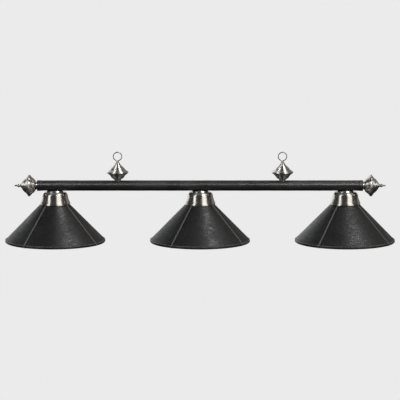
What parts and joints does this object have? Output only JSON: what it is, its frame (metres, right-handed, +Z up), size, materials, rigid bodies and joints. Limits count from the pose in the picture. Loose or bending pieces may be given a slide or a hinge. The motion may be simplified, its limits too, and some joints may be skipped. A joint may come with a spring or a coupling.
{
  "type": "pool table lamp",
  "caption": "Billiard table lamp: leather-covered bar hung from wire eyes, with leather cone shades on spun metal caps and turned finials.",
  "frame": {"origin": "the hang point: halfway between the two wire eyes, level with the inside top of each eye, where a hook or chain link bears", "axes": "+X along the bar to the right, +Z up, -Y to the front"},
  "size_m": [1.5234, 0.3914, 0.3541],
  "materials": {
    "black_leather": "black grained leather with a low satin sheen, lightly rubbed at seams and rims",
    "stainless": "spun and polished stainless steel with fine turning marks",
    "bar_steel": "dark primer on drawn steel tube",
    "zinc_plate": "bright zinc plate",
    "brass": "bare pressed brass",
    "white_enamel": "white stove enamel, satin",
    "phenolic": "black moulded phenolic",
    "opal_glass": "opal white glass",
    "rubber": "black rubber",
    "lead_jacket": "black PVC jacket",
    "nylon": "natural nylon"
  },
  "bodies": {
    "fixture": {"bar_tube": "bar_steel", "bar_leather": "black_leather", "cord_grommet": "rubber", "splice_block": "nylon", "lead_left": "lead_jacket", "lead_centre": "lead_jacket", "lead_right": "lead_jacket", "end_plug_left": "stainless", "end_cup_left": "stainless", "end_cone_left": "stainless", "end_tip_left": "stainless", "hanger_nut_left": "zinc_plate", "hanger_cup_left": "stainless", "hanger_cone_left": "stainless", "end_plug_right": "stainless", "end_cup_right": "stainless", "end_cone_right": "stainless", "end_tip_right": "stainless", "hanger_nut_right": "zinc_plate", "hanger_cup_right": "stainless", "hanger_cone_right": "stainless", "nipple_left": "zinc_plate", "bar_nut_left": "zinc_plate", "cap_collar_left": "stainless", "cap_left": "stainless", "cap_nut_left": "zinc_plate", "lampholder_left": "phenolic", "screw_shell_left": "brass", "shade_ring_left": "phenolic", "nipple_centre": "zinc_plate", "bar_nut_centre": "zinc_plate", "cap_collar_centre": "stainless", "cap_centre": "stainless", "cap_nut_centre": "zinc_plate", "lampholder_centre": "phenolic", "screw_shell_centre": "brass", "shade_ring_centre": "phenolic", "nipple_right": "zinc_plate", "bar_nut_right": "zinc_plate", "cap_collar_right": "stainless", "cap_right": "stainless", "cap_nut_right": "zinc_plate", "lampholder_right": "phenolic", "screw_shell_right": "brass", "shade_ring_right": "phenolic"},
    "eye_left": {"eye_left": "stainless"},
    "eye_right": {"eye_right": "stainless"},
    "shade_left": {"shade_shell_left": "white_enamel", "shade_leather_left": "black_leather"},
    "shade_centre": {"shade_shell_centre": "white_enamel", "shade_leather_centre": "black_leather"},
    "shade_right": {"shade_shell_right": "white_enamel", "shade_leather_right": "black_leather"},
    "bulb_left": {"bulb_base_left": "brass", "bulb_glass_left": "opal_glass"},
    "bulb_centre": {"bulb_base_centre": "brass", "bulb_glass_centre": "opal_glass"},
    "bulb_right": {"bulb_base_right": "brass", "bulb_glass_right": "opal_glass"}
  },
  "joints": [
    {"name": "eye_left_swivel", "type": "hinge", "parent": "fixture", "child": "eye_left", "pos_m": [-0.321, 0, -0.0144], "axis": [0, 0, 1], "continuous": true},
    {"name": "eye_right_swivel", "type": "hinge", "parent": "fixture", "child": "eye_right", "pos_m": [0.321, 0, -0.0144], "axis": [0, 0, 1], "continuous": true},
    {"name": "shade_left_turn", "type": "hinge", "parent": "fixture", "child": "shade_left", "pos_m": [-0.566, 0, -0.1927], "axis": [0, 0, 1], "continuous": true},
    {"name": "shade_centre_turn", "type": "hinge", "parent": "fixture", "child": "shade_centre", "pos_m": [0, 0, -0.1927], "axis": [0, 0, 1], "continuous": true},
    {"name": "shade_right_turn", "type": "hinge", "parent": "fixture", "child": "shade_right", "pos_m": [0.566, 0, -0.1927], "axis": [0, 0, 1], "continuous": true},
    {"name": "bulb_left_unscrew", "type": "hinge", "parent": "fixture", "child": "bulb_left", "pos_m": [-0.566, 0, -0.2131], "axis": [0, 0, -1], "range_deg": [0, 1980]},
    {"name": "bulb_centre_unscrew", "type": "hinge", "parent": "fixture", "child": "bulb_centre", "pos_m": [0, 0, -0.2131], "axis": [0, 0, -1], "range_deg": [0, 1980]},
    {"name": "bulb_right_unscrew", "type": "hinge", "parent": "fixture", "child": "bulb_right", "pos_m": [0.566, 0, -0.2131], "axis": [0, 0, -1], "range_deg": [0, 1980]}
  ]
}
